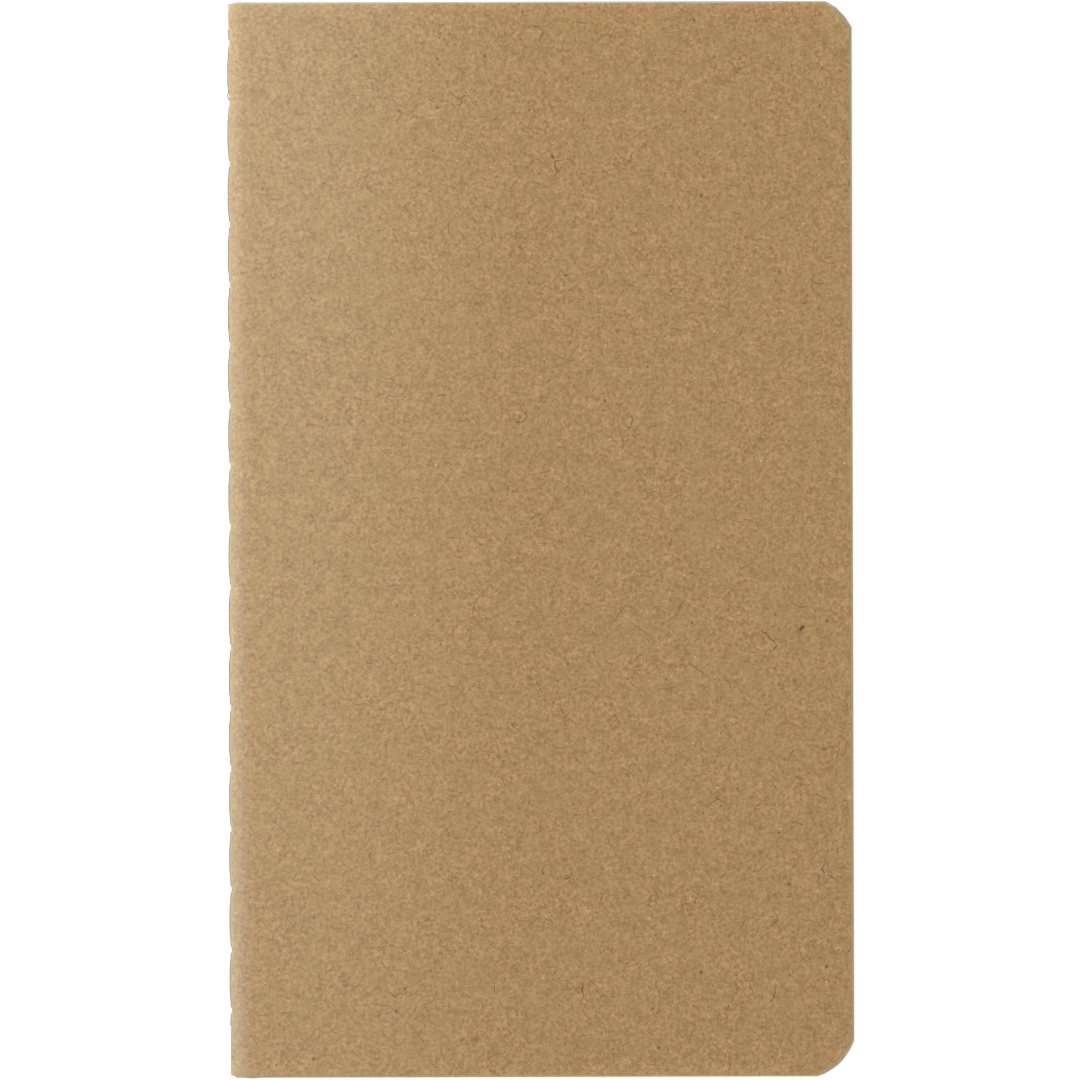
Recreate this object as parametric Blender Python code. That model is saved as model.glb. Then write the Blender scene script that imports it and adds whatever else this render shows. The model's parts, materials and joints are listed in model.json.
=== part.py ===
"""A sewn pocket notebook: one folded kraft cover round centre-folded sheets, lock-stitched on the fold.

It lies flat on its back cover. +X runs from the spine to the fore edge, +Y up the page, +Z through
the thickness, and the origin is the middle of the footprint at the table. Each folded sheet is three
nodes, a back leaf, a fold and a front leaf, because the fold is where the paper bends as it opens.
"""

import math

import bmesh
import bpy
from mathutils import Vector

# Overall sizes, in metres.
WIDTH = 0.090  # spine stitching to fore edge
HEIGHT = 0.155
CORNER_RADIUS = 0.0085  # of the punch that cuts the two corners at the fore edge
TOP_CORNER_CUT = 0.0039  # how far along each edge the punch reaches, at the head
BOTTOM_CORNER_CUT = 0.0052  # and at the foot
TRIM_DRAW = 0.0004  # how much shorter the knife leaves the top layer than the bottom one

# Paper and card.
COVER_THICKNESS = 0.00035
SHEET_THICKNESS = 0.0001
SHEET_COUNT = 12
SHEET_GAP = 0.00003  # air between two sheets
COVER_GAP = 0.00005  # air between the cover and the outermost sheet
INNER_BEND = 0.00003  # inner bend radius of the innermost fold

# The fold zone and the hinges.
HINGE_SETBACK = 0.00035  # from the fold's axis to where the flat leaves begin
HINGE_GAP = 0.00003  # between a fold and its leaves
CREASE_CLEARANCE = 0.00015  # the cover's hinge line stands this far above the cover

# Stitching.
THREAD_DIAMETER = 0.0002
THREAD_CLEARANCE = 0.00003
STITCH_PITCH = 0.0087
FIRST_STITCH = 0.0098  # from the bottom edge
LAST_STITCH_MARGIN = 0.004  # least distance from the top edge
STITCH_TURN = 0.0004  # length of thread that lies inside a hole
HOLE_MARGIN = 0.00016  # round the thread, along the fold
HOLE_EDGE = 0.00001  # flat paper left above and below a hole
LOCK_GAP = 0.00006  # between the two threads inside a hole

# Smoothness.
CORNER_SEGMENTS = 6
FOLD_SEGMENTS = 3

# Worked out from the sizes above.
THREAD_RADIUS = THREAD_DIAMETER / 2
LAYER_PITCH = SHEET_THICKNESS + SHEET_GAP
HOLE_REACH = THREAD_RADIUS + THREAD_CLEARANCE  # half a hole's height
FOLD_FLAT = HOLE_REACH + HOLE_EDGE  # half the flat width of every fold
INNER_FACE = FOLD_FLAT + INNER_BEND  # innermost leaf's inner face, from the middle plane
PAPER_FACE = INNER_FACE + SHEET_COUNT * LAYER_PITCH - SHEET_GAP
COVER_INNER = PAPER_FACE + COVER_GAP
COVER_OUTER = COVER_INNER + COVER_THICKNESS
THICKNESS = 2 * COVER_OUTER
MIDDLE = THICKNESS / 2
SPINE_REACH = COVER_OUTER - FOLD_FLAT  # fold axis to the spine's outer face
AXIS_X = -WIDTH / 2 + THREAD_DIAMETER + THREAD_CLEARANCE + SPINE_REACH
LEAF_START = AXIS_X + HINGE_SETBACK
FORE_EDGE = WIDTH / 2
BOTTOM = -HEIGHT / 2
STITCH_COUNT = 1 + int((HEIGHT - FIRST_STITCH - LAST_STITCH_MARGIN) / STITCH_PITCH)
HOLE_LENGTH = STITCH_TURN + THREAD_DIAMETER + 2 * HOLE_MARGIN


def clear_scene():
    for item in list(bpy.data.objects):
        bpy.data.objects.remove(item, do_unlink=True)


def material(name, colour, roughness):
    made = bpy.data.materials.new(name)
    made.use_nodes = True
    shader = made.node_tree.nodes["Principled BSDF"]
    shader.inputs["Base Color"].default_value = (*colour, 1.0)
    shader.inputs["Roughness"].default_value = roughness
    shader.inputs["Metallic"].default_value = 0.0
    return made


def link(name, mesh, finish, parent):
    item = bpy.data.objects.new(name, mesh)
    item.data.materials.append(finish)
    bpy.context.scene.collection.objects.link(item)
    item.parent = parent
    return item


def mesh_of(bm, name):
    bmesh.ops.recalc_face_normals(bm, faces=bm.faces)
    mesh = bpy.data.meshes.new(name)
    bm.to_mesh(mesh)
    bm.free()
    return mesh


def arc(centre_x, centre_y, radius, start, end, segments):
    """Points of an arc, both ends included, with angles in degrees."""
    steps = [math.radians(start + (end - start) * i / segments) for i in range(segments + 1)]
    return [(centre_x + radius * math.cos(a), centre_y + radius * math.sin(a)) for a in steps]


def punched_corner(x, y, cut):
    """Arc of the punch's radius across the corner at x, y, from the lower end to the upper end.

    The punch reaches the same distance along both edges, so its arc meets them at a slight angle.
    """
    half_angle = math.degrees(math.asin(cut / math.sqrt(2) / CORNER_RADIUS))
    inward = -cut / 2 - CORNER_RADIUS * math.cos(math.radians(half_angle)) / math.sqrt(2)
    side = math.copysign(1, y)
    middle = 45 * side
    centre = (x + inward, y + inward * side)
    return arc(*centre, CORNER_RADIUS, middle - half_angle, middle + half_angle, CORNER_SEGMENTS)


def extruded(points, name, travel):
    """A closed outline, as 3-D points, extruded along travel."""
    bm = bmesh.new()
    face = bm.faces.new([bm.verts.new(p) for p in points])
    made = bmesh.ops.extrude_face_region(bm, geom=[face])
    moved = [v for v in made["geom"] if isinstance(v, bmesh.types.BMVert)]
    bmesh.ops.translate(bm, vec=travel, verts=moved)
    return mesh_of(bm, name)


def trim_at(z):
    """How far the knife has drawn in from the full size at this height."""
    return TRIM_DRAW * z / THICKNESS


def leaf(name, low, high, finish, parent, origin):
    """A flat leaf with two punched corners at the fore edge, between two heights."""
    trim = trim_at(low)
    right = FORE_EDGE - trim
    top = HEIGHT / 2 - trim
    outline = [(LEAF_START, top), (LEAF_START, -top)]
    outline += punched_corner(right, -top, BOTTOM_CORNER_CUT)
    outline += punched_corner(right, top, TOP_CORNER_CUT)
    points = [Vector((x, y, low)) - origin for x, y in outline]
    mesh = extruded(points, name, Vector((0, 0, high - low)))
    item = link(name, mesh, finish, parent)
    item.location = origin - parent.location
    return item


def fold_side(reach, sign):
    """Half of a fold's section at this distance from the middle plane: the flat run, then the bend."""
    bend = arc(AXIS_X, MIDDLE + sign * FOLD_FLAT, reach - FOLD_FLAT, sign * 90, sign * 180, FOLD_SEGMENTS)
    return [(LEAF_START - HINGE_GAP, MIDDLE + sign * reach)] + bend


def fold(name, inner, outer, finish, parent, holes):
    """The bent strip that joins a sheet's two leaves, pierced by the stitch holes."""
    outside = fold_side(outer, -1) + fold_side(outer, 1)[::-1]
    inside = fold_side(inner, -1) + fold_side(inner, 1)[::-1]
    section = outside + inside[::-1]
    low_end = BOTTOM + trim_at(MIDDLE)
    origin = parent.location
    points = [Vector((x, low_end, z)) - origin for x, z in section]
    mesh = extruded(points, name, Vector((0, -2 * low_end, 0)))
    item = link(name, mesh, finish, parent)
    cut = item.modifiers.new("stitch_holes", "BOOLEAN")
    cut.operation = "DIFFERENCE"
    cut.object = holes
    return item


def stitch_places():
    return [BOTTOM + FIRST_STITCH + i * STITCH_PITCH for i in range(STITCH_COUNT)]


def hole_cutter(parent):
    """One box for each needle hole, from outside the spine to inside the gutter."""
    bm = bmesh.new()
    reach = SPINE_REACH + THREAD_DIAMETER
    for y in stitch_places():
        made = bmesh.ops.create_cube(bm, size=1.0)
        size = Vector((reach, HOLE_LENGTH, 2 * HOLE_REACH))
        bmesh.ops.scale(bm, vec=size, verts=made["verts"])
        bmesh.ops.translate(bm, vec=Vector((-reach / 2, y, 0)), verts=made["verts"])
    item = bpy.data.objects.new("hole_cutter", mesh_of(bm, "hole_cutter"))
    bpy.context.scene.collection.objects.link(item)
    item.parent = parent
    item.hide_render = True
    item.display_type = "WIRE"
    return item


def thread(name, run_x, turn_x, finish, parent):
    """A thread that runs up the fold at run_x and dips into every hole as far as turn_x."""
    end = HEIGHT / 2 - trim_at(MIDDLE)
    half_turn = STITCH_TURN / 2
    path = [(run_x, -end)]
    for y in stitch_places():
        path += [(run_x, y - half_turn), (turn_x, y - half_turn)]
        path += [(turn_x, y + half_turn), (run_x, y + half_turn)]
    path += [(run_x, end)]
    curve = bpy.data.curves.new(name, "CURVE")
    curve.dimensions = "3D"
    curve.bevel_depth = THREAD_RADIUS
    curve.bevel_resolution = 1
    curve.use_fill_caps = True
    line = curve.splines.new("POLY")
    line.points.add(len(path) - 1)
    for point, (x, y) in zip(line.points, path):
        point.co = (x - AXIS_X, y, 0, 1)
    return link(name, curve, finish, parent)


def empty(name, x, z):
    item = bpy.data.objects.new(name, None)
    item.location = (x, 0, z)
    bpy.context.scene.collection.objects.link(item)
    return item


def main():
    clear_scene()
    kraft = material("kraft_card", (0.43, 0.27, 0.12), 0.9)
    paper = material("ivory_paper", (0.82, 0.78, 0.68), 0.85)
    grey_thread = material("grey_thread", (0.35, 0.34, 0.33), 0.8)

    fold_axis = empty("fold_axis", AXIS_X, MIDDLE)
    cover_axis = empty("cover_axis", LEAF_START, THICKNESS + CREASE_CLEARANCE)
    table = empty("table", 0, 0)
    holes = hole_cutter(fold_axis)

    leaf("back_cover", 0, COVER_THICKNESS, kraft, table, Vector())
    fold("cover_spine", COVER_INNER, COVER_OUTER, kraft, fold_axis, holes)
    top_low = MIDDLE + COVER_INNER
    leaf("front_cover", top_low, THICKNESS, kraft, cover_axis, cover_axis.location.copy())

    for number in range(1, SHEET_COUNT + 1):
        inner = INNER_FACE + (SHEET_COUNT - number) * LAYER_PITCH
        outer = inner + SHEET_THICKNESS
        name = f"sheet_{number:02d}"
        axis = fold_axis.location.copy()
        leaf(f"{name}_back_leaf", MIDDLE - outer, MIDDLE - inner, paper, fold_axis, axis)
        fold(f"{name}_fold", inner, outer, paper, fold_axis, holes)
        leaf(f"{name}_front_leaf", MIDDLE + inner, MIDDLE + outer, paper, fold_axis, axis)

    outside = -SPINE_REACH - THREAD_CLEARANCE - THREAD_RADIUS
    inside = HOLE_REACH - INNER_BEND
    lock = -(SPINE_REACH + INNER_BEND) / 2
    apart = THREAD_RADIUS + LOCK_GAP / 2
    thread("spine_thread", AXIS_X + outside, AXIS_X + lock - apart, grey_thread, fold_axis)
    thread("gutter_thread", AXIS_X + inside, AXIS_X + lock + apart, grey_thread, fold_axis)


main()
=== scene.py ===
"""A pocket notebook: a kraft card cover round twelve folded sheets, sewn along the spine.

The cover, sheets and threads take their sizes from the part's own solids, in metres, with the spine at -X,
the fore edge at +X, the head of the page at +Y and the front cover on top.
"""

import json
import math
import random
from functools import partial

import bmesh
import bpy
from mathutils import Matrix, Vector


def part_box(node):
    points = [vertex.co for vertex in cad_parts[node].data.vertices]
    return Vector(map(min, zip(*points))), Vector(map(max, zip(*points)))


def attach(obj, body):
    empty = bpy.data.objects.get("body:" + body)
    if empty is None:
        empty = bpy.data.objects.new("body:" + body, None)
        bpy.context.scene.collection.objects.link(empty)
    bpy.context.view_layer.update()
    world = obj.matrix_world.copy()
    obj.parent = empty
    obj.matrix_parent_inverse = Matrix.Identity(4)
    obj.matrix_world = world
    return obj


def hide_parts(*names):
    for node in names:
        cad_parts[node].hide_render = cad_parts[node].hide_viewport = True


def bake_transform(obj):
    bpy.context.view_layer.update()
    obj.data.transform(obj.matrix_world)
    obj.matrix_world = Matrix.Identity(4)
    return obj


bl_info = {
    "name": "Pocket Notebook",
    "version": (1, 0, 0),
    "blender": (4, 5, 0),
    "location": "View3D > Sidebar > Notebook",
    "description": "Builds a thread-sewn pocket notebook with a kraft card cover",
    "category": "Object",
}

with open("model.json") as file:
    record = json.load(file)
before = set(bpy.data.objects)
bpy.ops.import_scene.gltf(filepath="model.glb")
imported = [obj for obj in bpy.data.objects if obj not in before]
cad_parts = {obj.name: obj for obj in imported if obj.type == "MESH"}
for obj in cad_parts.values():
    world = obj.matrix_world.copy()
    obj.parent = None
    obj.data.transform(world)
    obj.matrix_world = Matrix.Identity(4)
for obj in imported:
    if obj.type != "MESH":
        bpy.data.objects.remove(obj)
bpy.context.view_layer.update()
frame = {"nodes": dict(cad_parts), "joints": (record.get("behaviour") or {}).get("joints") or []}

SHEET_COUNT = sum(name.endswith("_fold") for name in frame["nodes"])
AXIS_X, _, MIDDLE = next(j["pos_m"] for j in frame["joints"] if j["name"] == "open_at_middle")
PANEL_LOW, PANEL_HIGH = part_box("back_cover")
FORE_EDGE = PANEL_HIGH.x
HEAD = PANEL_HIGH.y
TAIL = PANEL_LOW.y
THICKNESS = 2 * MIDDLE
SPINE_REACH = AXIS_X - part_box("cover_spine")[0].x
INNER_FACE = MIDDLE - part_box(f"sheet_{SHEET_COUNT:02d}_back_leaf")[1].z
COVER_INNER = MIDDLE - PANEL_HIGH.z

# A length smaller than anything that is cut or sewn.
NOTHING = 1e-6
# The gap left between the middle of the thickness and the innermost page, once the pages lie flat.
FIRST_GAP = 0.00003
# How far a sheet runs past the fore edge before it is trimmed.
SPARE = 0.001
# Half the angle, seen from the fold's axis, over which the thread bites into the spine.
GROOVE_ANGLE = math.radians(13)
# The pinch deepens with the square of a share that is 1 at the fold's axis and stops growing at this.
PINCH_LIMIT = 1.3
# Depth counts three times in the paper's and the card's patterns, so that each layer differs from the next.
DEPTH_SCALE = 3
# About how far a corner's cut runs along each edge, for the rims that follow the cut.
CORNER_CUT = 0.0045
# The floor lies this far under the back cover, so that the two faces don't coincide.
FLOOR_GAP = 0.0001
LONE_FIBRES = (
    # place on the sheet as it lay flat, turn in degrees, length and width, bow of the ends over the middle
    ((0.0836, -0.0129), 45, (0.0011, 0.00046), 0.0),
    ((0.0789, -0.0141), -44, (0.0036, 0.00013), -0.0002),
    ((0.0798, -0.0157), 53, (0.0011, 0.00012), 0.0),
    ((0.0499, -0.0488), 20, (0.0024, 0.00012), 0.0012),
    ((0.0462, -0.0478), 100, (0.0015, 0.00012), -0.0005),
)


# ---------------------------------------------------------------- sizes and colours a user would change

def to_linear(hex_colour):
    """An sRGB hex colour as linear red, green, blue and alpha."""
    values = [int(hex_colour[i:i + 2], 16) / 255 for i in (1, 3, 5)]
    return (*[v / 12.92 if v <= 0.04045 else ((v + 0.055) / 1.055) ** 2.4 for v in values], 1.0)


def length(name, description, default):
    """A length setting, in metres."""
    return bpy.props.FloatProperty(
        name=name, description=description, default=default, min=0.0, unit="LENGTH", precision=5)


def colour(name, description, hex_colour):
    """A colour setting, from an sRGB hex value."""
    return bpy.props.FloatVectorProperty(
        name=name, description=description, default=to_linear(hex_colour), size=4, min=0.0, max=1.0,
        subtype="COLOR")


class NotebookSizes(bpy.types.PropertyGroup):
    """Sizes of the sewn and trimmed notebook."""
    corner_radius: length("Corner punch", "Radius of the punch that cuts the corners", 0.0085)
    head_cut: length("Head corner cut", "How far the head corner's cut runs along each edge", 0.0039)
    tail_cut: length("Tail corner cut", "How far the tail corner's cut runs along each edge", 0.0052)
    trim_draw: length("Trim draw", "How far the knife drew in from the back cover to the front", 0.0004)
    trim_wander: length("Trim wander", "How far one sheet's trimmed edge strays", 0.00003)
    stitch_pitch: length("Stitch pitch", "Distance between needle holes", 0.0087)
    first_stitch: length("First stitch", "From the tail edge to the first needle hole", 0.0098)
    last_margin: length("Last stitch margin", "Least distance from the last hole to the head edge", 0.004)
    needle_hole: length("Needle hole", "Length of a needle hole along the fold", 0.00056)
    thread_diameter: length("Thread diameter", "Diameter of the sewing thread", 0.0002)
    stitch_dip: length("Stitch dip", "How far each stitch draws the spine in", 0.00017)
    stitch_reach: length("Stitch reach", "Half the length of spine that a stitch draws in", 0.0032)
    thread_groove: length("Thread groove", "How deep the thread bites into the spine", 0.00012)
    spine_swell: length("Spine swell", "How far the card springs out past the folds at the spine", 0.00015)
    seam: length("Seam", "How far past the fold the front's card meets the back's", 0.00018)
    press_length: length("Press length", "How far the pinched spine slopes into the flat cover", 0.0062)
    press_share: bpy.props.FloatProperty(
        name="Press share", description="Share of the thickness lost at the fold", default=0.13,
        min=0.0, max=0.3, subtype="FACTOR")
    worn_edge: length("Worn edge", "Width of the cover's rubbed edge", 0.00007)
    line_spacing: length("Line spacing", "Distance between the ruled lines", 0.0065)


class NotebookColours(bpy.types.PropertyGroup):
    """Colours of the card, paper and thread."""
    kraft: colour("Kraft", "The card's own olive tan", "#AB8654")
    kraft_warm: colour("Warm kraft", "Softer pinkish patches of the card", "#AE8556")
    kraft_dark: colour("Dark fibre", "Unbleached bark fibres", "#6E5030")
    bark: colour("Bark flake", "The few thick flakes and fibres of bark", "#3F301E")
    kraft_light: colour("Light fibre", "Bleached fibres", "#DCC59E")
    # Painted sheen: the pale colour the card is mixed towards beside the fold, towards the head and at the
    # edges.
    kraft_sheen: colour("Rubbed kraft", "Card whose fibres are lifted and paled by handling", "#E7DCB2")
    # Painted sheen: the pale grey the fold itself is mixed towards.
    kraft_fold_sheen: colour("Handled kraft", "Card greyed by fingers along the fold", "#C4C2B8")
    paper: colour("Paper", "Uncoated ivory paper", "#E6DFCF")
    # Painted shade: the colour the pages' cut edges and their rims are darkened towards.
    paper_edge_shade: colour("Paper edge", "Cut edges of the pages, greyed by handling", "#D3C8B6")
    ruling: colour("Ruling", "Printed feint lines", "#A3ABB2")
    thread: colour("Thread", "Grey sewing thread", "#A9A398")


# ---------------------------------------------------------------- working by hand, in code

def clear_selection():
    """Back to object mode with nothing selected."""
    if bpy.context.mode != "OBJECT":
        bpy.ops.object.mode_set(mode="OBJECT")
    bpy.ops.object.select_all(action="DESELECT")


def pick(obj):
    """Makes the object the only selected one, and the active one."""
    clear_selection()
    obj.select_set(True)
    bpy.context.view_layer.objects.active = obj


def edit(obj):
    """Picks the object and opens it in edit mode."""
    pick(obj)
    bpy.ops.object.mode_set(mode="EDIT")


def choose(obj, kind, test):
    """Selects, in edit mode, the vertices, edges or faces whose corners all pass the test of place."""
    bpy.ops.mesh.select_mode(type=kind)
    bpy.ops.mesh.select_all(action="DESELECT")
    mesh = bmesh.from_edit_mesh(obj.data)
    for item in {"VERT": mesh.verts, "EDGE": mesh.edges, "FACE": mesh.faces}[kind]:
        corners = [item] if kind == "VERT" else item.verts
        item.select_set(all(test(corner.co) for corner in corners))
    bmesh.update_edit_mesh(obj.data)


def extrude(x=0.0, y=0.0, z=0.0):
    """Extrudes what is selected by that much."""
    bpy.ops.mesh.extrude_region_move(TRANSFORM_OT_translate={"value": (x, y, z)})


def shift_all(x=0.0, y=0.0, z=0.0):
    """Moves the whole mesh by that much."""
    bpy.ops.mesh.select_all(action="SELECT")
    bpy.ops.transform.translate(value=(x, y, z))


def copy_of(obj, name):
    """A copy of the object, with its own mesh."""
    pick(obj)
    bpy.ops.object.duplicate(linked=False)
    copy = bpy.context.view_layer.objects.active
    copy.name = copy.data.name = name
    return copy


def apply_modifier(obj, kind, **settings):
    """Adds a modifier, sets it up and applies it."""
    pick(obj)
    bpy.ops.object.modifier_add(type=kind)
    modifier = obj.modifiers[-1]
    for name, value in settings.items():
        setattr(modifier, name, value)
    bpy.ops.object.modifier_apply(modifier=modifier.name)


def smooth(obj, degrees):
    """Shades the object smooth, with edges sharper than the angle left crisp."""
    pick(obj)
    bpy.ops.object.shade_smooth_by_angle(angle=math.radians(degrees))


# ---------------------------------------------------------------- the trimmed outline and the sewn spine

def stitches(sizes):
    """Height up the page of every needle hole."""
    room = HEAD - TAIL - sizes.first_stitch - sizes.last_margin
    count = 1 + math.floor(room / sizes.stitch_pitch + NOTHING)
    return [TAIL + sizes.first_stitch + i * sizes.stitch_pitch for i in range(count)]


def punched_corner(y, cut, radius, segments=14):
    """Points of a fore corner, from its lower end: an arc of the punch that reaches the cut on both edges."""
    half = math.asin(cut / math.sqrt(2) / radius)
    inward = cut / 2 + radius * math.cos(half) / math.sqrt(2)
    side = math.copysign(1, y)
    angles = [side * math.pi / 4 - half + 2 * half * i / segments for i in range(segments + 1)]
    return [(FORE_EDGE - inward + radius * math.cos(a), y - side * inward + radius * math.sin(a))
            for a in angles]


def rubbed_spine_end(y, segments=4):
    """Points of a spine end, counter-clockwise: a shallow quarter ellipse where the card is rubbed away."""
    along, across = 0.0016, 0.0005
    side = math.copysign(1, y)
    steps = [math.pi / 2 * i / segments for i in range(segments + 1)]
    points = [(AXIS_X - SPINE_REACH + along * (1 - math.cos(a)),
               y - side * across * (1 - math.sin(a))) for a in steps]
    return points[::-1] if side > 0 else points


def outline(sizes):
    """The notebook's outline, counter-clockwise from the tail of the spine to its head."""
    return (rubbed_spine_end(TAIL)
            + punched_corner(TAIL, sizes.tail_cut, sizes.corner_radius)
            + punched_corner(HEAD, sizes.head_cut, sizes.corner_radius)
            + rubbed_spine_end(HEAD))


def trim(obj, sizes, wander=0.0):
    """Cuts the folded sheet along the outline with a blade that leans in towards the front cover."""
    edit(obj)
    lean = sizes.trim_draw / THICKNESS
    points = outline(sizes)
    for (x, y), (next_x, next_y) in zip(points, points[1:]):
        across = Vector((next_y - y, x - next_x, 0)).normalized()
        across.z = (max(across.x, 0) + abs(across.y)) * lean
        start = Vector((x + wander * max(across.x, 0), y + wander * across.y, 0))
        bpy.ops.mesh.select_all(action="SELECT")
        bpy.ops.mesh.bisect(plane_co=start, plane_no=across, clear_outer=True)
    bpy.ops.mesh.select_all(action="SELECT")
    bpy.ops.mesh.remove_doubles(threshold=NOTHING)
    clear_selection()


def draw_in(y, angle, sizes):
    """Share of its reach by which the spine is drawn in, by the nearest stitch and by the thread's bite.

    angle is measured round the fold from its middle.
    """
    away = min(abs(y - stitch) for stitch in stitches(sizes)) / sizes.stitch_reach
    stitch = (1 - min(away, 1) ** 2) ** 2
    bite = max(0.0, 1 - abs(angle) / GROOVE_ANGLE)
    return (stitch * sizes.stitch_dip + bite * sizes.thread_groove) / SPINE_REACH


def settle(depth, x, sizes):
    """A layer's distance from the middle once the pages lie down on each other, away from the fold."""
    flat = min(max(0.0, (x - AXIS_X) / sizes.press_length), 1.0)
    closed = FIRST_GAP + (depth - INNER_FACE) * (COVER_INNER - FIRST_GAP) / (COVER_INNER - INNER_FACE)
    return depth + (closed - depth) * flat if depth < COVER_INNER else depth


def press(obj, sizes):
    """Pinches the layers towards the fold, as the sewing and the folding machine leave them.

    Every layer is scaled towards the fold's axis by the same share, so none crosses its neighbour.
    """
    squeeze = (SPINE_REACH + sizes.spine_swell) / MIDDLE
    for vertex in obj.data.vertices:
        x, y, z = vertex.co
        z = MIDDLE + math.copysign(settle(abs(z - MIDDLE), x, sizes), z - MIDDLE)
        past = max(0.0, 1 - (x - AXIS_X) / sizes.press_length)
        share = 1 - sizes.press_share * min(past, PINCH_LIMIT) ** 2
        if x < AXIS_X:
            angle = math.atan2(z - MIDDLE, AXIS_X - x)
            x = AXIS_X + (x - AXIS_X) * squeeze * (1 - draw_in(y, angle, sizes))
        vertex.co = (x, y, MIDDLE + (z - MIDDLE) * share)


def mark_sheet_place(obj):
    """Stores each point's place on the sheet as it lay flat: along the wrap, up the page, and in depth."""
    places = obj.data.attributes.new("sheet_place", "FLOAT_VECTOR", "POINT")
    for vertex, place in zip(obj.data.vertices, places.data):
        x, y, z = vertex.co
        if x > AXIS_X:
            depth = abs(z - MIDDLE)
            along = math.copysign(x - AXIS_X + depth * math.pi / 2, z - MIDDLE)
        else:
            depth = math.hypot(x - AXIS_X, z - MIDDLE)
            along = depth * math.atan2(z - MIDDLE, AXIS_X - x)
        place.vector = (along, y, DEPTH_SCALE * depth)


# ---------------------------------------------------------------- materials

def add_node(tree, kind, inputs=None, **settings):
    """Adds a node with its settings, and fills its inputs with values, other nodes or their outputs."""
    node = tree.nodes.new(kind)
    for name, value in settings.items():
        setattr(node, name, value)
    for socket, value in (inputs or {}).items():
        if isinstance(value, bpy.types.Node):
            value = value.outputs[0]
        if isinstance(value, bpy.types.NodeSocket):
            tree.links.new(value, node.inputs[socket])
        else:
            node.inputs[socket].default_value = value
    return node


def new_material(name, colour_seen, roughness):
    """An empty node material and its node tree, with the colour and roughness a plain viewport shows."""
    material = bpy.data.materials.new(name)
    material.use_nodes = True
    material.node_tree.nodes.clear()
    material.diffuse_color = colour_seen
    material.roughness = roughness
    return material, material.node_tree


def strewn_cells(tree, place, cell, turn):
    """The place counted in cells of that width, the nearest cell, and three random shares drawn for it."""
    add = partial(add_node, tree)
    spread = add("ShaderNodeVectorMath", {0: place, 1: (1 / cell,) * 3, 2: (turn, 1.7 * turn, 0)},
                 operation="MULTIPLY_ADD")
    nearest = add("ShaderNodeTexVoronoi", {"Vector": spread, "Scale": 1.0, "Randomness": 1.0},
                  voronoi_dimensions="2D")
    return spread, nearest, add("ShaderNodeSeparateXYZ", {0: nearest.outputs["Color"]})


def fibres(tree, place, cell, size, curl, share, turn):
    """A mask of single fibres strewn on a sheet, one to a cell.

    cell is the cell's width in metres, size the fibre's length and width, curl how far it bows in cells,
    share the part of the cells that hold one, and turn a number that moves the pattern elsewhere.
    """
    add = partial(add_node, tree)
    spread, nearest, chance = strewn_cells(tree, place, cell, turn)
    offset = add("ShaderNodeVectorMath", {0: spread, 1: nearest.outputs["Position"]}, operation="SUBTRACT")
    angle = add("ShaderNodeMath", {0: chance.outputs[0], 1: 2 * math.pi}, operation="MULTIPLY")
    turned = add("ShaderNodeVectorRotate", {"Vector": offset, "Angle": angle}, rotation_type="Z_AXIS")
    along = add("ShaderNodeSeparateXYZ", {0: turned})
    bow = add("ShaderNodeMath", {0: chance.outputs[2], 1: 0.5}, operation="SUBTRACT")
    squared = add("ShaderNodeMath", {0: along.outputs[0], 1: along.outputs[0]}, operation="MULTIPLY")
    bent = add("ShaderNodeMath", {0: bow, 1: squared}, operation="MULTIPLY")
    waver = add("ShaderNodeTexNoise", {"Vector": spread, "Scale": 2.6, "Detail": 1.0},
                noise_dimensions="2D")
    sway = 0.35 * curl
    wavered = add("ShaderNodeMath", {0: waver.outputs[0], 1: sway, 2: -sway / 2}, operation="MULTIPLY_ADD")
    curved = add("ShaderNodeMath", {0: bent, 1: 4 * curl, 2: wavered}, operation="MULTIPLY_ADD")
    across = add("ShaderNodeMath", {0: along.outputs[1], 1: curved}, operation="SUBTRACT")
    beside = add("ShaderNodeMath", {0: across}, operation="ABSOLUTE")
    far = add("ShaderNodeMath", {0: along.outputs[0]}, operation="ABSOLUTE")
    half_length, half_width = size[0] / cell / 2, size[1] / cell / 2
    narrow = add("ShaderNodeMapRange", {0: beside, 1: 0.5 * half_width, 2: 1.5 * half_width, 3: 1.0, 4: 0.0},
                 interpolation_type="SMOOTHSTEP")
    short = add("ShaderNodeMapRange", {0: far, 1: 0.6 * half_length, 2: half_length, 3: 1.0, 4: 0.0},
                interpolation_type="SMOOTHSTEP")
    held = add("ShaderNodeMath", {0: chance.outputs[1], 1: share}, operation="LESS_THAN")
    shape = add("ShaderNodeMath", {0: narrow, 1: short}, operation="MULTIPLY")
    return add("ShaderNodeMath", {0: shape, 1: held}, operation="MULTIPLY")


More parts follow.
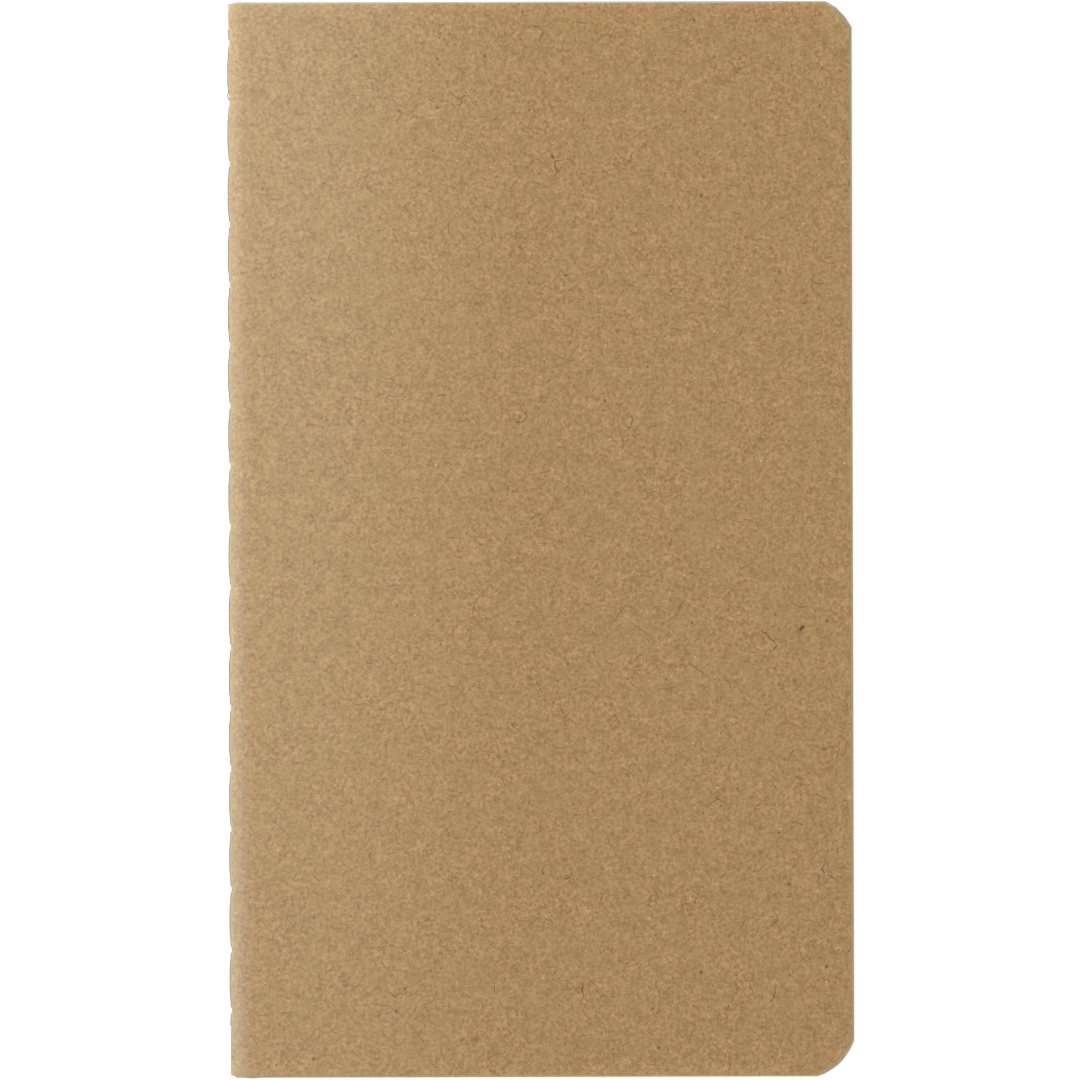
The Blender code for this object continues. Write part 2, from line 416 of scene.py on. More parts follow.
def lone_fibre(tree, place, middle, turn, size, bow):
    """A mask of one bark fibre or flake at its own place on the sheet."""
    add = partial(add_node, tree)

    offset = add("ShaderNodeVectorMath", {0: place, 1: (*middle, 0)}, operation="SUBTRACT")
    turned = add("ShaderNodeVectorRotate", {"Vector": offset, "Angle": -math.radians(turn)},
                 rotation_type="Z_AXIS")
    apart = add("ShaderNodeSeparateXYZ", {0: turned})
    half_length, half_width = size[0] / 2, size[1] / 2
    squared = add("ShaderNodeMath", {0: apart.outputs[0], 1: apart.outputs[0]}, operation="MULTIPLY")
    raised = add("ShaderNodeMath", {0: squared, 1: -bow / half_length ** 2, 2: apart.outputs[1]},
                 operation="MULTIPLY_ADD")
    beside = add("ShaderNodeMath", {0: raised}, operation="ABSOLUTE")
    far = add("ShaderNodeMath", {0: apart.outputs[0]}, operation="ABSOLUTE")
    narrow = add("ShaderNodeMapRange", {0: beside, 1: 0.6 * half_width, 2: 1.4 * half_width, 3: 1.0, 4: 0.0},
                 interpolation_type="SMOOTHSTEP")
    short = add("ShaderNodeMapRange", {0: far, 1: 0.5 * half_length, 2: half_length, 3: 1.0, 4: 0.0},
                interpolation_type="SMOOTHSTEP")
    return add("ShaderNodeMath", {0: narrow, 1: short}, operation="MULTIPLY")


def specks(tree, place, cell, radius, share, turn):
    """A mask of round specks of many sizes, one to a cell, up to the radius in metres."""
    add = partial(add_node, tree)

    spread, nearest, chance = strewn_cells(tree, place, cell, turn)
    full = add("ShaderNodeMath", {0: chance.outputs[0], 1: radius / cell}, operation="MULTIPLY")
    inside = add("ShaderNodeMath", {0: full, 1: nearest.outputs["Distance"]}, operation="SUBTRACT")
    soft = add("ShaderNodeMapRange", {0: inside, 1: 0.0, 2: 0.4 * radius / cell},
               interpolation_type="SMOOTHSTEP")
    held = add("ShaderNodeMath", {0: chance.outputs[1], 1: share}, operation="LESS_THAN")
    return add("ShaderNodeMath", {0: soft, 1: held}, operation="MULTIPLY")


def near_edge(tree, place, reach):
    """A mask that rises from the given distance inside the head, tail and fore edges to the edges."""
    add = partial(add_node, tree)

    apart = add("ShaderNodeSeparateXYZ", {0: place})
    along = add("ShaderNodeMath", {0: apart.outputs[0]}, operation="ABSOLUTE")
    wrapped = add("ShaderNodeMath", {0: apart.outputs[2], 1: math.pi / 2 / DEPTH_SCALE}, operation="MULTIPLY")
    out = add("ShaderNodeMath", {0: along, 1: wrapped}, operation="SUBTRACT")
    fore = add("ShaderNodeMapRange", {0: out, 1: FORE_EDGE - AXIS_X - reach, 2: FORE_EDGE - AXIS_X})
    height = add("ShaderNodeMath", {0: apart.outputs[1]}, operation="ABSOLUTE")
    ends = add("ShaderNodeMapRange", {0: height, 1: HEAD - reach, 2: HEAD})
    diagonal = add("ShaderNodeMath", {0: out, 1: height}, operation="ADD")
    chord = FORE_EDGE - AXIS_X + HEAD - CORNER_CUT
    corner = add("ShaderNodeMapRange", {0: diagonal, 1: chord - 1.4 * reach, 2: chord})
    nearest = add("ShaderNodeMath", {0: fore, 1: ends}, operation="MAXIMUM")
    return add("ShaderNodeMath", {0: nearest, 1: corner}, operation="MAXIMUM")


def felted_ground(tree, place, colours):
    """The card before its loose fibres: its colour, the grain, the lumps and the two together.

    Softwood fibres are some 0.04 mm wide, too fine to show, so the grain is drawn from 0.56 mm down. The
    lumps are drawn 2 mm wide and the clouds 5.5 mm, as the fibres gather when the sheet is formed.
    """
    add = partial(add_node, tree)
    cloud = add("ShaderNodeTexNoise", {"Vector": place, "Scale": 1 / 0.0055, "Detail": 4.0,
                                       "Roughness": 0.72})
    lumps = add("ShaderNodeTexNoise", {"Vector": place, "Scale": 1 / 0.0021, "Detail": 2.0,
                                       "Roughness": 0.6})
    grain = add("ShaderNodeTexNoise", {"Vector": place, "Scale": 1 / 0.00056, "Detail": 3.0,
                                       "Roughness": 0.85})
    warm = add("ShaderNodeMapRange", {0: cloud.outputs[0], 1: 0.47, 2: 0.66})
    tone = add("ShaderNodeMix", {0: warm, 6: colours.kraft, 7: colours.kraft_warm}, data_type="RGBA")
    # The warm patches are rougher than the olive ones between them.
    coarse = add("ShaderNodeMapRange", {0: cloud.outputs[0], 1: 0.38, 2: 0.62, 3: 1.3, 4: 2.35})
    centred = add("ShaderNodeMath", {0: grain.outputs[0], 1: 0.5}, operation="SUBTRACT")
    felt = add("ShaderNodeMath", {0: centred, 1: coarse, 2: 1.0}, operation="MULTIPLY_ADD")
    lumpy = add("ShaderNodeMath", {0: lumps.outputs[0], 1: 0.46, 2: 0.77}, operation="MULTIPLY_ADD")
    mottled = add("ShaderNodeMath", {0: felt, 1: lumpy}, operation="MULTIPLY")
    # Its dark hollows are browner, and its high fibres greyer.
    relief = add("ShaderNodeMath", {0: mottled, 1: 1.0}, operation="SUBTRACT")
    tinted = add("ShaderNodeVectorMath", {0: relief, 1: (0.87, 1.0, 1.38), 2: (1, 1, 1)},
                 operation="MULTIPLY_ADD")
    shade = add("ShaderNodeVectorMath", {0: tone.outputs[2], 1: tinted}, operation="MULTIPLY")
    return shade.outputs[0], grain.outputs[0], lumps.outputs[0], mottled


def loose_fibres(tree, place, colours, shade, raised):
    """Lays the loose fibres and specks over the card's colour, and raises its surface under them.

    They are drawn about 0.1 mm wide, so that they show, where a softwood fibre is some 0.04 mm.
    """
    add = partial(add_node, tree)
    dark, light = colours.kraft_dark, colours.kraft_light
    layers = [
        # mask, colour, strength
        (fibres(tree, place, 0.0007, (0.00065, 0.00009), 0.2, 0.9, 3.1), dark, 0.2),
        (fibres(tree, place, 0.0008, (0.00075, 0.00009), 0.25, 0.9, 17.3), light, 0.17),
        (fibres(tree, place, 0.0014, (0.0012, 0.0001), 0.4, 0.6, 41.9), dark, 0.36),
        (fibres(tree, place, 0.0015, (0.0012, 0.00009), 0.4, 0.4, 29.4), light, 0.3),
        (fibres(tree, place, 0.0034, (0.002, 0.0001), 0.35, 0.4, 63.7), dark, 0.7),
        (fibres(tree, place, 0.0093, (0.0036, 0.00013), 1.5, 0.25, 57.2), dark, 0.8),
        (specks(tree, place, 0.0013, 0.00018, 0.35, 11.6), dark, 0.75),
        (specks(tree, place, 0.0062, 0.00034, 0.3, 71.8), dark, 0.8),
        (specks(tree, place, 0.0031, 0.00018, 0.3, 23.9), light, 0.7),
    ]
    for middle, turn, size, bow in LONE_FIBRES:
        layers.append((lone_fibre(tree, place, middle, turn, size, bow), colours.bark, 0.85))
    for mask, fibre_colour, strength in layers:
        factor = add("ShaderNodeMath", {0: mask, 1: strength}, operation="MULTIPLY")
        mixed = add("ShaderNodeMix", {0: factor, 6: shade, 7: fibre_colour}, data_type="RGBA")
        shade = mixed.outputs[2]
        raised = add("ShaderNodeMath", {0: mask, 1: 0.25, 2: raised}, operation="MULTIPLY_ADD")
    return shade, raised


def painted_sheen(tree, place, colours, shade, mottled):
    """Paints a sheen into the card's colour: paler beside the fold, towards the head and at the edges; greyer
    on the fold.
    """
    add = partial(add_node, tree)
    apart = add("ShaderNodeSeparateXYZ", {0: place})
    along = add("ShaderNodeMath", {0: apart.outputs[0]}, operation="ABSOLUTE")
    height = apart.outputs[1]
    # Painted sheen: the card is paled well into the cover beside the fold, more towards the head, and a
    # little in a rim at the trimmed edges.
    beside = add("ShaderNodeMapRange", {0: along, 1: 0.005, 2: 0.048, 3: 0.16, 4: 0.0},
                 interpolation_type="SMOOTHSTEP")
    toward_head = add("ShaderNodeMapRange", {0: height, 1: TAIL, 2: HEAD, 3: 0.45, 4: 1.15})
    panel_sheen = add("ShaderNodeMath", {0: beside, 1: toward_head}, operation="MULTIPLY")
    edges = add("ShaderNodeMath", {0: near_edge(tree, place, 0.0012), 1: 0.07}, operation="MULTIPLY")
    both = add("ShaderNodeMath", {0: panel_sheen, 1: edges}, operation="ADD")
    sheen_share = add("ShaderNodeMath", {0: both, 1: mottled}, operation="MULTIPLY")
    # Painted sheen: rubbed is the card mixed towards the pale sheen colour.
    rubbed = add("ShaderNodeMix", {0: sheen_share, 6: shade, 7: colours.kraft_sheen}, data_type="RGBA")
    # Painted sheen: the fold itself is greyed, most at the tail.
    round_fold = add("ShaderNodeMapRange", {0: along, 1: 0.0024, 2: 0.0052, 3: 0.15, 4: 0.0},
                     interpolation_type="SMOOTHSTEP")
    toward_tail = add("ShaderNodeMapRange", {0: height, 1: TAIL, 2: HEAD, 3: 1.2, 4: 0.4})
    sheen_on_fold = add("ShaderNodeMath", {0: round_fold, 1: toward_tail}, operation="MULTIPLY")
    greyed = add("ShaderNodeMix", {0: sheen_on_fold, 6: rubbed.outputs[2], 7: colours.kraft_fold_sheen},
                 data_type="RGBA")
    # Painted highlight: the card's colour is lightened a little towards its trimmed edges.
    edge_highlight = add("ShaderNodeMath", {0: near_edge(tree, place, 0.003), 1: 0.1, 2: 1.0},
                  operation="MULTIPLY_ADD")
    return add("ShaderNodeVectorMath", {0: greyed.outputs[2], "Scale": edge_highlight}, operation="SCALE")


def kraft_card(colours):
    """Unbleached kraft card, rolled and uncoated.

    The eye sees a matt olive tan that clouds into pinkish patches a few millimetres wide, a fine felted
    grain, loose bark fibres and specks, and a few bleached fibres. A painted sheen pales it beside the fold,
    towards the head and at the edges, and greys the fold.
    """
    material, tree = new_material("unbleached kraft card", colours.kraft, 0.8)
    add = partial(add_node, tree)
    place = add("ShaderNodeAttribute", attribute_name="sheet_place").outputs["Vector"]
    shade, grain, lumps, mottled = felted_ground(tree, place, colours)
    shade, raised = loose_fibres(tree, place, colours, shade, grain)
    shade = painted_sheen(tree, place, colours, shade, mottled)
    bump = add("ShaderNodeBump", {"Strength": 0.5, "Distance": 0.00003, "Height": raised})
    roughness = add("ShaderNodeMapRange", {0: lumps, 1: 0.3, 2: 0.7, 3: 0.58, 4: 0.7})
    shader = add("ShaderNodeBsdfPrincipled", {
        "Base Color": shade, "Roughness": roughness, "Normal": bump, "IOR": 1.5,
        "Specular IOR Level": 0.5, "Sheen Weight": 0.12, "Sheen Roughness": 0.5})
    add("ShaderNodeOutputMaterial", {0: shader})
    return material


def feint_lines(tree, place, sizes):
    """A mask of the printed lines, from the head margin down."""
    add = partial(add_node, tree)
    height = add("ShaderNodeSeparateXYZ", {0: place}).outputs[1]
    head_margin = 0.014
    below_head = add("ShaderNodeMath", {0: HEAD - head_margin, 1: height}, operation="SUBTRACT")
    spaced = add("ShaderNodeMath", {0: below_head, 1: sizes.line_spacing}, operation="DIVIDE")
    phase = add("ShaderNodeMath", {0: spaced}, operation="FRACT")
    # The printed line is 0.15 mm thick, drawn at 0.2 mm so that it shows.
    drawn = 0.0002
    printed = add("ShaderNodeMath", {0: phase, 1: drawn / sizes.line_spacing}, operation="LESS_THAN")
    under_head = add("ShaderNodeMath", {0: below_head, 1: -NOTHING}, operation="GREATER_THAN")
    return add("ShaderNodeMath", {0: printed, 1: under_head}, operation="MULTIPLY")


def uncoated_paper(colours, sizes):
    """Uncoated ivory writing paper, machine smooth, printed with feint lines.

    The eye sees a warm matt white with a barely cloudy look, very fine tooth, and pale blue-grey lines.
    """
    material, tree = new_material("uncoated ivory paper", colours.paper, 0.9)

    add = partial(add_node, tree)

    place = add("ShaderNodeAttribute", attribute_name="sheet_place").outputs["Vector"]
    cloud = add("ShaderNodeTexNoise", {"Vector": place, "Scale": 1 / 0.004, "Detail": 3.0})
    # The tooth is as fine as the paper's fibres, some 0.03 mm, and is drawn ten times as coarse to show.
    tooth = add("ShaderNodeTexNoise", {"Vector": place, "Scale": 1 / 0.0003, "Detail": 2.0})
    clouded = add("ShaderNodeMath", {0: cloud.outputs[0], 1: 0.08, 2: 0.96}, operation="MULTIPLY_ADD")
    toned = add("ShaderNodeMath", {0: tooth.outputs[0], 1: 0.08, 2: clouded}, operation="MULTIPLY_ADD")
    dimmed = add("ShaderNodeMath", {0: toned, 1: 0.04}, operation="SUBTRACT")
    shade = add("ShaderNodeVectorMath", {0: colours.paper[:3], "Scale": dimmed}, operation="SCALE")

    # Painted shade: the pages' cut edges and a rim beside them are darkened; the drawn-in trim sets some
    # edges back, so the rim is full over its outer 0.4 mm.
    edge_shade_mask = add("ShaderNodeMath", {0: near_edge(tree, place, 0.001), 1: 1.7}, operation="MULTIPLY",
                 use_clamp=True)
    away_from_edge = add("ShaderNodeMath", {0: 1.0, 1: edge_shade_mask}, operation="SUBTRACT")
    patchy = add("ShaderNodeMath", {0: tooth.outputs[0], 1: away_from_edge}, operation="MULTIPLY")
    inked = add("ShaderNodeMath", {0: patchy, 1: feint_lines(tree, place, sizes)}, operation="MULTIPLY")
    strong = add("ShaderNodeMath", {0: inked, 1: 1.3}, operation="MULTIPLY", use_clamp=True)
    page = add("ShaderNodeMix", {0: strong, 6: shade.outputs[0], 7: colours.ruling}, data_type="RGBA")
    # Painted shade: the edges' darkening varies from sheet to sheet, so that the layers show.
    stretched = add("ShaderNodeMapping", {"Vector": place, "Scale": (0.1, 0.1, 1.0)})
    sheet_shade_noise = add("ShaderNodeTexNoise", {"Vector": stretched, "Scale": 1 / 0.0004, "Detail": 2.0})
    streak_shade = add("ShaderNodeMapRange", {0: sheet_shade_noise.outputs[0], 1: 0.35, 2: 0.65, 3: 0.1, 4: 1.0})
    shaded_edge = add("ShaderNodeMath", {0: edge_shade_mask, 1: streak_shade}, operation="MULTIPLY")
    page = add("ShaderNodeMix", {0: shaded_edge, 6: page.outputs[2], 7: colours.paper_edge_shade}, data_type="RGBA")

    bump = add("ShaderNodeBump", {"Strength": 0.25, "Distance": 0.00002, "Height": tooth.outputs[0]})
    shader = add("ShaderNodeBsdfPrincipled", {
        "Base Color": page.outputs[2], "Roughness": 0.86, "Normal": bump, "IOR": 1.5,
        "Specular IOR Level": 0.35})
    add("ShaderNodeOutputMaterial", {0: shader})
    return material


def spun_polyester(colours):
    """Spun polyester sewing thread, three plies, mid grey.

    The eye sees soft, slightly hairy plies, with short light and dark stretches along them.
    """
    material, tree = new_material("spun polyester thread", colours.thread, 0.8)

    add = partial(add_node, tree)

    place = add("ShaderNodeTexCoord").outputs["Object"]
    stretched = add("ShaderNodeMapping", {"Vector": place, "Scale": (1.0, 0.3, 1.0)})
    # Its staple fibres are about 0.01 mm thick, and their fluff is drawn at 0.1 mm so that it shows.
    fluff = add("ShaderNodeTexNoise", {"Vector": stretched, "Scale": 1 / 0.0001, "Detail": 3.0})
    lighter = add("ShaderNodeMapRange", {0: fluff.outputs[0], 1: 0.3, 2: 0.7, 3: 0.72, 4: 1.2})
    shade = add("ShaderNodeVectorMath", {0: colours.thread[:3], "Scale": lighter}, operation="SCALE")
    bump = add("ShaderNodeBump", {"Strength": 0.6, "Distance": 0.00003, "Height": fluff.outputs[0]})
    shader = add("ShaderNodeBsdfPrincipled", {
        "Base Color": shade, "Roughness": 0.75, "Normal": bump, "IOR": 1.5, "Sheen Weight": 0.4})
    add("ShaderNodeOutputMaterial", {0: shader})
    return material


def material_once(name, make, *settings):
    """The material of that name, made the first time that it is asked for."""
    return bpy.data.materials.get(name) or make(*settings)


# ---------------------------------------------------------------- folded sheets

def flat_strip(name, sizes, near, wide):
    """Half a sheet before folding, larger than the page, with a row of edges on each side of every hole."""
    holes = stitches(sizes)
    rows_each_stitch = 6
    row = sizes.stitch_pitch / rows_each_stitch
    below = math.ceil(sizes.first_stitch / row - 0.5)
    above = math.ceil((HEAD - holes[-1]) / row - 0.5)
    low = holes[0] - (below + 0.5) * row
    high = holes[-1] + (above + 0.5) * row
    rows = round((high - low) / row)
    start = AXIS_X + sizes.press_length
    clear_selection()
    bpy.ops.mesh.primitive_grid_add(x_subdivisions=wide, y_subdivisions=rows, size=1)
    strip = bpy.context.view_layer.objects.active
    strip.name = strip.data.name = name
    edit(strip)
    bpy.ops.mesh.select_all(action="SELECT")
    bpy.ops.transform.resize(value=(FORE_EDGE + SPARE - start, high - low, 1), center_override=(0, 0, 0))
    shift_all(x=(FORE_EDGE + SPARE + start) / 2, y=(high + low) / 2)
    choose(strip, "EDGE", lambda co: co.x < start + NOTHING)
    for _ in range(near):
        extrude(x=-sizes.press_length / near)
    for hole in holes:
        for side in (-1, 1):
            bpy.ops.mesh.select_all(action="SELECT")
            bpy.ops.mesh.bisect(plane_co=(0, hole + side * sizes.needle_hole / 2, 0), plane_no=(0, 1, 0))
    clear_selection()
    return strip


def fold_over(obj, reach, steps):
    """Folds the spine edge of a strip that lies under the middle round to the top, at that radius."""
    edit(obj)
    shift_all(z=MIDDLE - reach)
    choose(obj, "EDGE", lambda co: co.x < AXIS_X + NOTHING)
    bpy.ops.mesh.spin(steps=steps, angle=math.pi, center=(AXIS_X, 0, MIDDLE), axis=(0, -1, 0))


def run_to_fore_edge(sizes, near, wide):
    """Runs the selected edge on over the top, through the sloping stretch and the flat one."""
    for _ in range(near):
        extrude(x=sizes.press_length / near)
    far = FORE_EDGE + SPARE - AXIS_X - sizes.press_length
    for _ in range(wide):
        extrude(x=far / wide)
    clear_selection()


def pierce(obj, reach, steps, sizes):
    """Opens the needle holes along the middle of the fold."""
    side = reach * math.cos(math.pi / steps) - NOTHING
    half = sizes.needle_hole / 2 + NOTHING
    holes = stitches(sizes)
    edit(obj)
    choose(obj, "FACE", lambda co: AXIS_X - co.x > side and any(abs(co.y - hole) < half for hole in holes))
    bpy.ops.mesh.delete(type="FACE")
    clear_selection()


def fold_steps(reach, sizes):
    """An even number of fold steps, each about as wide as a needle hole is long."""
    return 2 * max(3, round(math.pi * reach / sizes.needle_hole / 2))


def facing_out(obj):
    """Turns every face outwards."""
    edit(obj)
    bpy.ops.mesh.select_all(action="SELECT")
    bpy.ops.mesh.normals_make_consistent(inside=False)
    clear_selection()


def folded_sheet(strip, number, sizes, near, wide, rng):
    """One sheet of paper, folded, trimmed, pierced and pinched."""
    low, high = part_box(f"sheet_{number:02d}_back_leaf")
    reach = MIDDLE - (low.z + high.z) / 2
    steps = fold_steps(reach, sizes)
    sheet = copy_of(strip, f"sheet_{number:02d}")
    fold_over(sheet, reach, steps)
    run_to_fore_edge(sizes, near, wide)
    trim(sheet, sizes, rng.uniform(-1, 1) * sizes.trim_wander)
    pierce(sheet, reach, steps, sizes)
    apply_modifier(sheet, "SOLIDIFY", thickness=high.z - low.z, offset=0.0, use_rim=True)
    facing_out(sheet)
    mark_sheet_place(sheet)
    press(sheet, sizes)
    smooth(sheet, 40)
    return sheet


# ---------------------------------------------------------------- the threads

def sewn_line(sizes, surface, meeting, slack):
    """The thread's way along the spine: x for each height, dipping at every needle hole to the meeting x.

    surface gives x between the holes, and slack stands the thread off near the head.
    """
    holes = stitches(sizes)
    tail_end, head_end = 0.0022, 0.0019
    tail, head = holes[0] - tail_end, holes[-1] + head_end
    bend, steepness = 0.0006, 1.4
    spacing = 0.00005
    count = round((head - tail) / spacing)
    points = []
    for i in range(count + 1):
        y = tail + (head - tail) * i / count
        away = min(abs(y - hole) for hole in holes)
        dip = 0.5 + 0.5 * math.cos(math.pi * min(away / bend, 1.0))
        x = surface(y) + slack(y)
        points.append((x + (meeting - x) * dip ** steepness, y))
    return points


def twisted_thread(name, points, sizes, z_of):
    """Three plies twisted together, swept along the points."""
    plies, ring, twist = 3, 12, 0.0007
    round_part, ply_part = 0.8, 0.2
    radius = sizes.thread_diameter / 2
    clear_selection()
    bpy.ops.curve.primitive_bezier_circle_add(radius=radius)
    section = bpy.context.view_layer.objects.active
    section.data.dimensions = "2D"
    section.data.splines.remove(section.data.splines[0])
    lobes = section.data.splines.new("POLY")
    lobes.points.add(ring - 1)
    for i, point in enumerate(lobes.points):
        angle = 2 * math.pi * i / ring
        bulge = radius * (round_part + ply_part * math.cos(plies * angle))
        point.co = (bulge * math.cos(angle), bulge * math.sin(angle), 0, 1)
    lobes.use_cyclic_u = True

    bpy.ops.curve.primitive_nurbs_path_add()
    thread = bpy.context.view_layer.objects.active
    thread.name = thread.data.name = name
    thread.data.splines.remove(thread.data.splines[0])
    line = thread.data.splines.new("POLY")
    line.points.add(len(points) - 1)
    run = 0.0
    for i, (point, (x, y)) in enumerate(zip(line.points, points)):
        if i:
            run += math.dist((x, y), points[i - 1])
        point.co = (x, y, z_of(y), 1)
        point.tilt = 2 * math.pi * run / twist
    thread.data.bevel_mode = "OBJECT"
    thread.data.bevel_object = section
    thread.data.use_fill_caps = True
    thread.data.twist_mode = "Z_UP"
    pick(thread)
    bpy.ops.object.convert(target="MESH")
    thread = bpy.context.view_layer.objects.active
    bpy.data.objects.remove(section)
    facing_out(thread)
    smooth(thread, 60)
    return thread


# ---------------------------------------------------------------- operators

class NOTEBOOK_OT_cover(bpy.types.Operator):
    """Build the kraft card cover, as a back with its spine and a front that meets it at the fold"""
    bl_idname = "notebook.cover"
    bl_label = "Kraft card cover"

    def execute(self, context):
        sizes = context.scene.notebook_sizes
        # How many strips across the pinched stretch beside the fold, and across the flat one after it.
        near, wide = 12, 26
        low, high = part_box("back_cover")
        card = high.z - low.z
        reach = MIDDLE - (low.z + high.z) / 2
        steps = fold_steps(reach, sizes)
        material = material_once("unbleached kraft card", kraft_card, context.scene.notebook_colours)

        strip = flat_strip("cover_back_and_spine", sizes, near, wide)
        front = copy_of(strip, "cover_front")
        edit(front)
        shift_all(z=MIDDLE + reach)
        choose(front, "VERT", lambda co: co.x < AXIS_X + NOTHING)
        bpy.ops.transform.translate(value=(sizes.seam, 0, 0))
        fold_over(strip, reach, steps)
        extrude(x=sizes.seam)
        clear_selection()
        pierce(strip, reach, steps, sizes)
        for panel in (strip, front):
            trim(panel, sizes)
            apply_modifier(panel, "SOLIDIFY", thickness=card, offset=0.0, use_rim=True)
            facing_out(panel)
            self.rub_edges(panel, sizes)
            mark_sheet_place(panel)
            press(panel, sizes)
            smooth(panel, 40)
            panel.data.materials.append(material)

        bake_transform(strip)
        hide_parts("back_cover", "cover_spine")
        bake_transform(front)
        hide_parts("front_cover")
        return {"FINISHED"}

    def rub_edges(self, panel, sizes):
        """Rounds the trimmed edges, and leaves the needle holes and the seam of back and front square."""
        end, sharp_angle = 0.002, math.radians(50)
        edit(panel)
        bpy.ops.mesh.select_mode(type="EDGE")
        bpy.ops.mesh.select_all(action="DESELECT")
        mesh = bmesh.from_edit_mesh(panel.data)
        for edge in mesh.edges:
            at_seam = all(abs(v.co.x - AXIS_X - sizes.seam) < NOTHING and v.co.z > MIDDLE for v in edge.verts)
            in_hole = all(v.co.x < AXIS_X - NOTHING and TAIL + end < v.co.y < HEAD - end for v in edge.verts)
            sharp = edge.is_manifold and edge.calc_face_angle() > sharp_angle
            edge.select_set(sharp and not at_seam and not in_hole)
        bmesh.update_edit_mesh(panel.data)
        bpy.ops.mesh.bevel(offset=sizes.worn_edge, segments=2, affect="EDGES")
        clear_selection()


class NOTEBOOK_OT_sheets(bpy.types.Operator):
    """Build the folded sheets of paper, from the outermost in"""
    bl_idname = "notebook.sheets"
    bl_label = "Folded sheets"

    def execute(self, context):
        sizes = context.scene.notebook_sizes
        colours = context.scene.notebook_colours
        near, wide = 5, 3
        rng = random.Random(12)
        material = material_once("uncoated ivory paper", uncoated_paper, colours, sizes)
        strip = flat_strip("sheet_strip", sizes, near, wide)
        for number in range(1, SHEET_COUNT + 1):
            sheet = folded_sheet(strip, number, sizes, near, wide, rng)
            sheet.data.materials.append(material)
            tag = f"_{number:02d}"
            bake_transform(sheet)
            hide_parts(*[f"sheet{tag}_{piece}" for piece in ("back_leaf", "fold", "front_leaf")])
        bpy.data.objects.remove(strip)
        return {"FINISHED"}


class NOTEBOOK_OT_threads(bpy.types.Operator):
    """Build the spine thread and the gutter thread, which meet inside the needle holes"""
    bl_idname = "notebook.threads"
    bl_label = "Sewing threads"

    def execute(self, context):
        sizes = context.scene.notebook_sizes
        material = material_once("spun polyester thread", spun_polyester, context.scene.notebook_colours)
        radius = sizes.thread_diameter / 2
        holes = stitches(sizes)
        meeting = AXIS_X - SPINE_REACH / 2

        def outside(y):
            reach = SPINE_REACH + sizes.spine_swell
            return AXIS_X - reach * (1 - draw_in(y, 0, sizes)) - radius

        def standing_off(y):
            lift, stitches_down, half_length = 0.00016, 0.87, 0.08
            from_head = (holes[-1] - y) / sizes.stitch_pitch
            loose = max(0.0, 1 - abs(from_head - stitches_down) / half_length)
            return -lift * loose * loose * (3 - 2 * loose)

        def wander(y):
            stray, quick, slow = 0.00005, 410, 173
            return MIDDLE + stray * math.sin(y * quick) * math.sin(y * slow + 1)

        paths = {
            "spine_thread": sewn_line(sizes, outside, meeting - radius, standing_off),
            "gutter_thread": sewn_line(sizes, lambda y: AXIS_X + radius, meeting + radius, lambda y: 0.0),
        }
        for name, points in paths.items():
            z_of = wander if name == "spine_thread" else lambda y: MIDDLE
            thread = twisted_thread(name + "_plies", points, sizes, z_of)
            thread.data.materials.append(material)
            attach(thread, "fold_line")
            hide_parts(name)
        return {"FINISHED"}


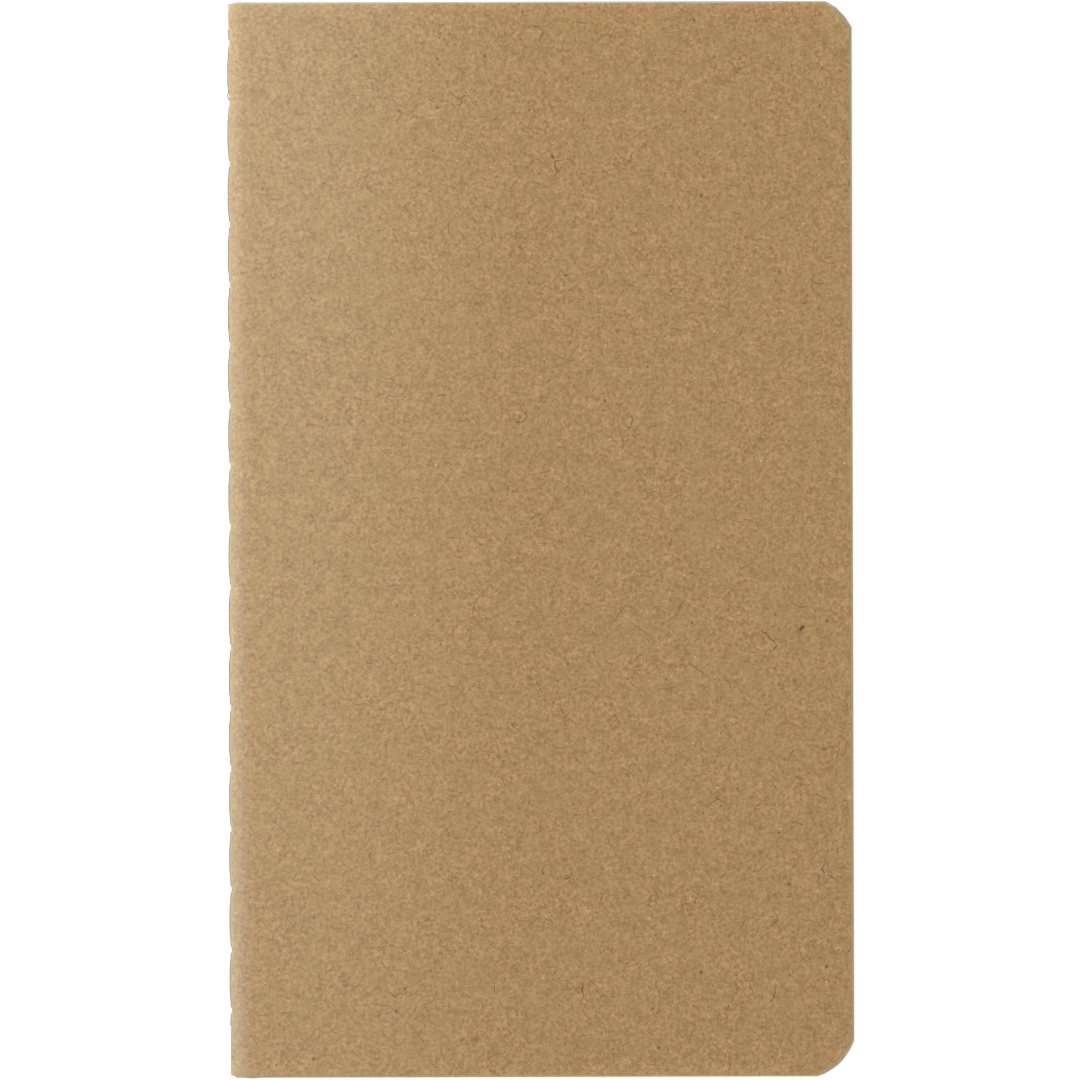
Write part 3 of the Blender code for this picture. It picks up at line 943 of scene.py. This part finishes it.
class NOTEBOOK_OT_stage(bpy.types.Operator):
    """Set the pale floor, the soft studio light and the camera straight above the cover"""
    bl_idname = "notebook.stage"
    bl_label = "Floor, light and camera"

    def execute(self, context):
        scene = context.scene
        self.floor()
        self.light(scene)
        self.camera(scene)
        scene.view_settings.view_transform = "Standard"
        return {"FINISHED"}

    def floor(self):
        """A wide white board that the notebook lies on."""
        clear_selection()
        bpy.ops.mesh.primitive_plane_add(size=12, location=(0, 0, -FLOOR_GAP))
        floor = bpy.context.view_layer.objects.active
        floor.name = "studio_floor"
        white = (1, 1, 1, 1)
        material, tree = new_material("matt white studio board", (0.9, 0.9, 0.9, 1), 0.9)
        add = partial(add_node, tree)
        bumpy = add("ShaderNodeTexNoise", {"Scale": 60.0, "Detail": 2.0})
        bump = add("ShaderNodeBump", {"Strength": 0.05, "Height": bumpy.outputs[0]})
        shader = add("ShaderNodeBsdfPrincipled", {
            "Base Color": (0.86, 0.86, 0.86, 1), "Roughness": 0.9, "Normal": bump,
            "Emission Color": white, "Emission Strength": 0.54})
        add("ShaderNodeOutputMaterial", {0: shader})
        floor.data.materials.append(material)

    def light(self, scene):
        """A soft box high to the left of the head and a faint strip by the spine, in a bright room."""
        world = bpy.data.worlds.new("bright_studio")
        world.use_nodes = True
        world.node_tree.nodes.clear()
        white = (1, 1, 1, 1)
        add = partial(add_node, world.node_tree)
        room = add("ShaderNodeBackground", {"Color": white, "Strength": 0.62})
        backdrop = add("ShaderNodeBackground", {"Color": white, "Strength": 1.0})
        seen = add("ShaderNodeLightPath").outputs["Is Camera Ray"]
        either = add("ShaderNodeMixShader", {0: seen, 1: room, 2: backdrop})
        add("ShaderNodeOutputWorld", {0: either})
        scene.world = world
        lamps = {
            # place, width and length, power in watts
            "soft_box": ((-0.62, 0.28, 0.55), (0.5, 0.7), 4.6),
            "spine_strip": ((-0.24, 0.03, 0.1), (0.04, 0.3), 0.02),
        }
        for name, (place, (wide, long), power) in lamps.items():
            clear_selection()
            bpy.ops.object.light_add(type="AREA", location=place)
            lamp = bpy.context.view_layer.objects.active
            lamp.name = name
            lamp.data.shape = "RECTANGLE"
            lamp.data.size = wide
            lamp.data.size_y = long
            lamp.data.energy = power
            lamp.rotation_euler = (-Vector(place)).to_track_quat("-Z", "Y").to_euler()

    def camera(self, scene):
        """A long lens straight above, a hair off square."""
        seen_width, height, sensor = 0.1553, 2.0, 36.0
        off_x, off_y, turn = -0.0001, -0.00012, math.radians(-0.15)
        clear_selection()
        bpy.ops.object.camera_add(location=(off_x, off_y, THICKNESS + height), rotation=(0, 0, turn))
        camera = bpy.context.view_layer.objects.active
        camera.name = "copy_stand_camera"
        camera.data.sensor_width = sensor
        camera.data.lens = sensor * height / seen_width
        camera.data.clip_start = 0.05
        camera.data.clip_end = 50
        scene.camera = camera


class NOTEBOOK_PT_panel(bpy.types.Panel):
    """Lists the notebook's pieces and settings"""
    bl_label = "Pocket Notebook"
    bl_idname = "NOTEBOOK_PT_panel"
    bl_space_type = "VIEW_3D"
    bl_region_type = "UI"
    bl_category = "Notebook"

    def draw(self, context):
        layout = self.layout
        for operator in OPERATORS:
            layout.operator(operator.bl_idname)
        for group in (context.scene.notebook_sizes, context.scene.notebook_colours):
            box = layout.box()
            for name in group.__annotations__:
                box.prop(group, name)


OPERATORS = (NOTEBOOK_OT_cover, NOTEBOOK_OT_sheets, NOTEBOOK_OT_threads, NOTEBOOK_OT_stage)
CLASSES = (NotebookSizes, NotebookColours, *OPERATORS, NOTEBOOK_PT_panel)


def register():
    for each in CLASSES:
        bpy.utils.register_class(each)
    bpy.types.Scene.notebook_sizes = bpy.props.PointerProperty(type=NotebookSizes)
    bpy.types.Scene.notebook_colours = bpy.props.PointerProperty(type=NotebookColours)


def unregister():
    del bpy.types.Scene.notebook_colours
    del bpy.types.Scene.notebook_sizes
    for each in reversed(CLASSES):
        bpy.utils.unregister_class(each)


def main():
    """Builds every piece and the stage."""
    register()
    bpy.ops.notebook.cover()
    bpy.ops.notebook.sheets()
    bpy.ops.notebook.threads()
    bpy.ops.notebook.stage()


if __name__ == "__main__":
    main()
